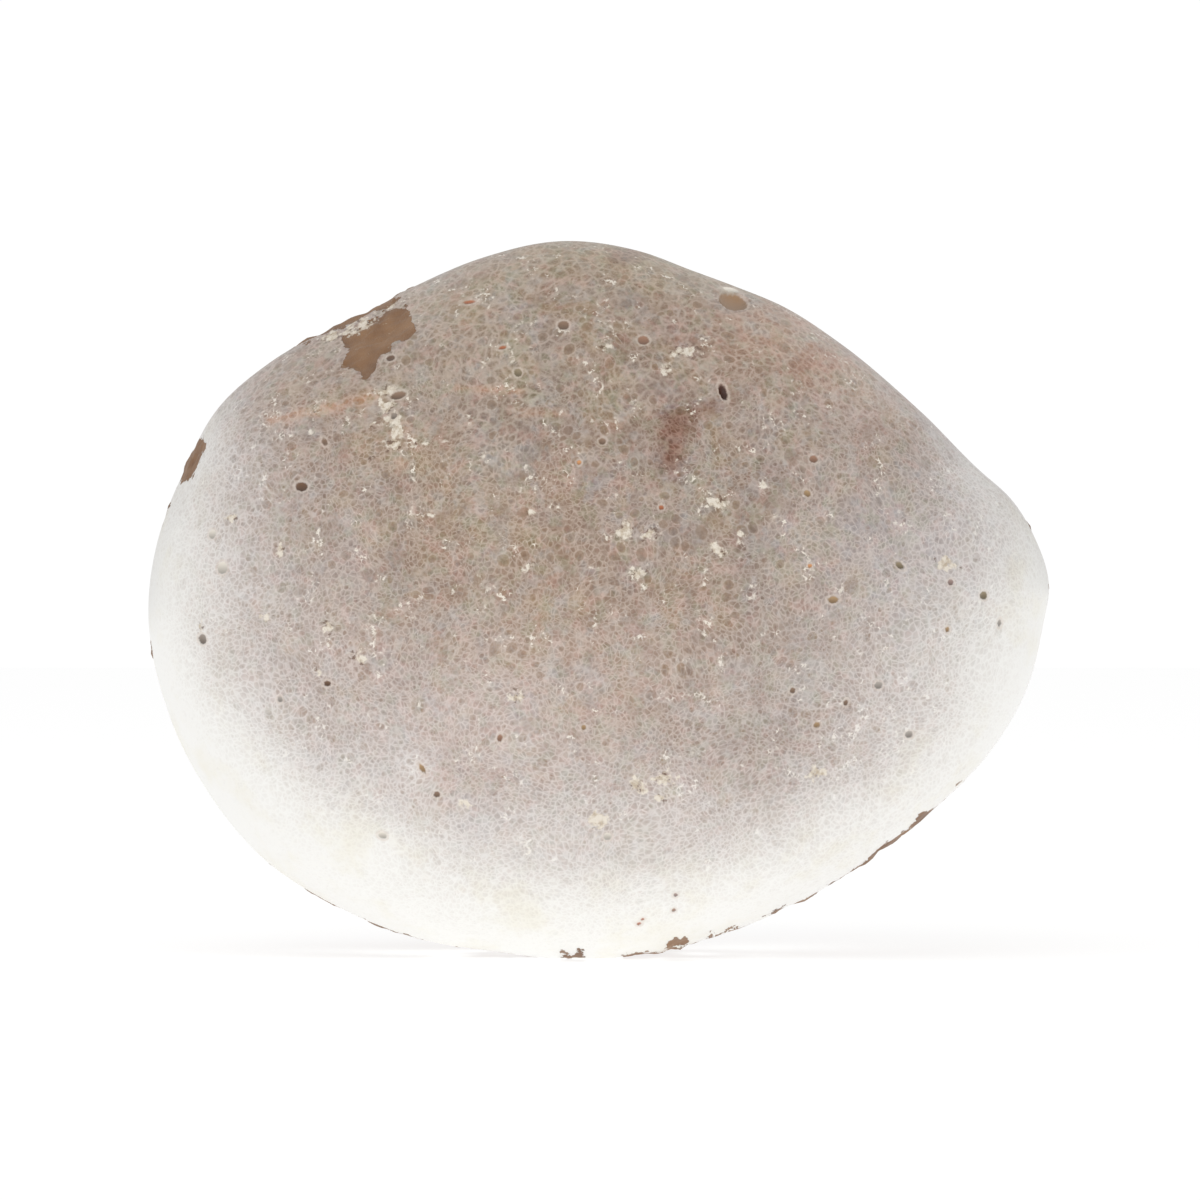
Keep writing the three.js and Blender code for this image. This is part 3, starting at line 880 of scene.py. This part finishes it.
def pitLayer(n, look, colour):
    # pits, in their tones with painted shade and light, each with a thin pale rim, a painted
    # highlight
    spot = n.math("MULTIPLY_ADD", n.speck, 0.05, n.attribute("spot"))
    spotMask = n.ramp(spot, -0.06, 0.10)
    # painted highlight: a pale ring just outside each pit
    pitRimHighlightMask = n.math("MULTIPLY", n.ramp(spot, -0.32, -0.10), n.ramp(spot, 0.06, -0.08))
    colour = n.mix(n.math("MULTIPLY", pitRimHighlightMask, look["pitRimHighlight"]), colour, rgba("wall"))
    return n.mix(spotMask, colour, n.attribute("pitToneAndShade", colour=True))


def rindLayer(n, look, colour, chalkMask):
    # rind, with an edge that breaks up into flecks and keeps off the chalk
    along = n.vector("MULTIPLY", n.trueMm, (1.0, look["fleckStretch"], 1.0))
    fleck = n.group(n.grains, {"Vector": along, "Size": look["fleckSize"]})["Grain"]
    edge = n.math("MULTIPLY_ADD", fleck, look["fleckDepth"], n.attribute("rind"))
    edge = n.math("MULTIPLY_ADD", n.speck, 0.6, edge)
    offChalk = n.ramp(chalkMask, 0.0, 1.0, 1.0, 0.15)
    rindMask = n.math("MULTIPLY", n.ramp(edge, -0.25, 0.25), offChalk)
    husk = n.mix(n.ramp(n.grain(5.0), -1.0, 1.0), rgba("rindDark"), rgba("rindPale"))
    husk = n.mix(look["rindOwnTone"], husk, rgba("rind"))
    husk = n.mix(n.ramp(n.mottle, -1.2, 1.2, 0.0, look["rindMottle"]), husk, rgba("rindPale"))
    dust = n.math("MULTIPLY", n.ramp(n.grain(0.5), 0.74, 0.92), look["rindDust"])
    husk = n.mix(dust, husk, rgba("chalkShade"))
    return n.mix(rindMask, colour, husk), rindMask


def agateRoughness(n, look, chalkMask, rindMask):
    # polished agate, duller rind and dull chalk
    rough = n.ramp(rindMask, 0.0, 1.0, look["polish"], look["rindRoughness"])
    rough = n.math("MAXIMUM", rough, n.ramp(chalkMask, 0.0, 1.0, 0.0, look["chalkRoughness"]))
    return n.math("MULTIPLY_ADD", n.mottle, 0.02, rough, clamp=True)


def agateRelief(n, look, chalkMask, rindMask):
    # fine relief as a bump: dots a little low, chalk grainy, rind lower and lumpy
    relief = n.math("MULTIPLY", n.foam["Dot"], -0.3)
    relief = n.math("MULTIPLY_ADD", n.strewn["medium"]["Dot"], -0.5, relief)
    relief = n.math("MULTIPLY_ADD", chalkMask, n.math("MULTIPLY", n.speck, 0.8), relief)
    huskRelief = n.math("MULTIPLY_ADD", n.mottle, 0.9, n.math("MULTIPLY", n.speck, 0.5))
    relief = n.math("MULTIPLY_ADD", rindMask, n.math("SUBTRACT", huskRelief, 2.0), relief)
    bump = n.add("ShaderNodeBump", {"Height": relief, "Strength": look["bumpStrength"],
                                    "Distance": look["bumpHeight"] * metresPerMm})
    return bump.outputs["Normal"]


def agateMaterial():
    # The layers from the inside out: foam, bubbles, white walls, painted light from below, chalk,
    # pits and rind.
    look = agateLook
    material, tree = bareMaterial("polishedAgate")
    n = AgateNodes(tree)
    stains = n.attribute("tint", colour=True)
    tint = groundTone(n, look, stains)
    dark = n.times(tint, look["dark"])
    pale = n.mix(0.5, rgba("wall"), n.times(tint, look["pale"]))
    colour = foamLayer(n, look, tint, dark, pale)
    colour = bubbleLayer(n, look, colour, tint, dark, pale)

    # dark stains soak the walls too
    soak = n.vector("MINIMUM", n.vector("DIVIDE", stains, linear("agate")), (1.0, 1.0, 1.0))
    colour = n.mix(look["stainSoak"], colour, soak, "MULTIPLY")
    colour = whiteWallLayer(n, look, colour)
    colour = paintedUnderlightLayer(n, look, colour)
    colour, chalkMask = chalkLayer(n, look, colour)
    colour = pitLayer(n, look, colour)
    colour, rindMask = rindLayer(n, look, colour, chalkMask)

    shader = n.add("ShaderNodeBsdfPrincipled", {
        "Base Color": colour, "Roughness": agateRoughness(n, look, chalkMask, rindMask),
        "Normal": agateRelief(n, look, chalkMask, rindMask),
        "IOR": look["indexOfRefraction"], "Specular IOR Level": look["specular"]})
    out = n.add("ShaderNodeOutputMaterial")
    tree.links.new(shader.outputs[0], out.inputs["Surface"])
    print("material built:", material.name, len(tree.nodes), "nodes")
    return material


# A pale floor that glows a little, and a sky brighter to the camera than to the stone.
room = {"floorSize": 6.0, "floorTone": 0.3, "floorGlow": 0.80, "skyLight": 0.62, "skySeen": 1.02}
white = (1, 1, 1, 1)


def floorMaterial():
    # a matte surface plus an even glow
    material, tree = bareMaterial("paleFloor")
    n = Nodes(tree)
    matte = n.add("ShaderNodeBsdfDiffuse", {"Color": (*(room["floorTone"],) * 3, 1)})
    glow = n.add("ShaderNodeEmission", {"Color": white, "Strength": room["floorGlow"]})
    both = n.add("ShaderNodeAddShader")
    tree.links.new(matte.outputs[0], both.inputs[0])
    tree.links.new(glow.outputs[0], both.inputs[1])
    out = n.add("ShaderNodeOutputMaterial")
    tree.links.new(both.outputs[0], out.inputs["Surface"])
    return material


agateStone = bpy.data.objects.new("agateStone", stoneMesh())
bpy.context.scene.collection.objects.link(agateStone)
agateStone.data.materials.append(agateMaterial())
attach(agateStone, "root")
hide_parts("agate_nodule")
print("stone placed")

half = room["floorSize"] / 2
floorMesh = bpy.data.meshes.new("floor")
floorMesh.from_pydata([(-half, -half, 0), (half, -half, 0), (half, half, 0), (-half, half, 0)],
                      [], [(0, 1, 2, 3)])
floor = bpy.data.objects.new("floor", floorMesh)
floorMesh.materials.append(floorMaterial())
bpy.context.scene.collection.objects.link(floor)

world = bpy.data.worlds.new("softRoom")
bpy.context.scene.world = world
world.use_nodes = True
world.node_tree.nodes.clear()
w = Nodes(world.node_tree)
fromCamera = w.add("ShaderNodeLightPath").outputs["Is Camera Ray"]
level = w.ramp(fromCamera, 0.0, 1.0, room["skyLight"], room["skySeen"])
sky = w.add("ShaderNodeBackground", {"Color": white, "Strength": level})
skyOut = w.add("ShaderNodeOutputWorld")
world.node_tree.links.new(sky.outputs[0], skyOut.inputs["Surface"])

stoneLow, stoneHigh = (np.array(corner) for corner in cadBox)
middle = Vector((stoneLow + stoneHigh) / 2)

# Square lamps: name, place seen from the stone's middle in metres, size, watts.
lamps = [
    ("keySoftbox", (-0.50, -0.90, 1.00), 1.60, 6.0),
    ("fillSoftbox", (1.10, -0.90, 0.40), 1.40, 2.0),
]
for name, offset, size, watts in lamps:
    light = bpy.data.lights.new(name, "AREA")
    light.shape = "SQUARE"
    light.size = size
    light.energy = watts
    lamp = bpy.data.objects.new(name, light)
    lamp.location = middle + Vector(offset)
    lamp.rotation_euler = (-Vector(offset)).to_track_quat("-Z", "Y").to_euler()
    bpy.context.scene.collection.objects.link(lamp)

aimX, aimZ = view["aim"]
camera = bpy.data.objects.new("camera", bpy.data.cameras.new("camera"))
camera.data.sensor_width = view["sensor"]
camera.data.lens = view["sensor"] * view["distance"] / view["width"]
camera.location = Vector((aimX, -view["distance"], aimZ)) * metresPerMm
camera.rotation_euler = (np.pi / 2, 0, 0)
bpy.context.scene.collection.objects.link(camera)
bpy.context.scene.camera = camera
bpy.context.scene.view_settings.view_transform = "Standard"
print("floor, lights and camera set")
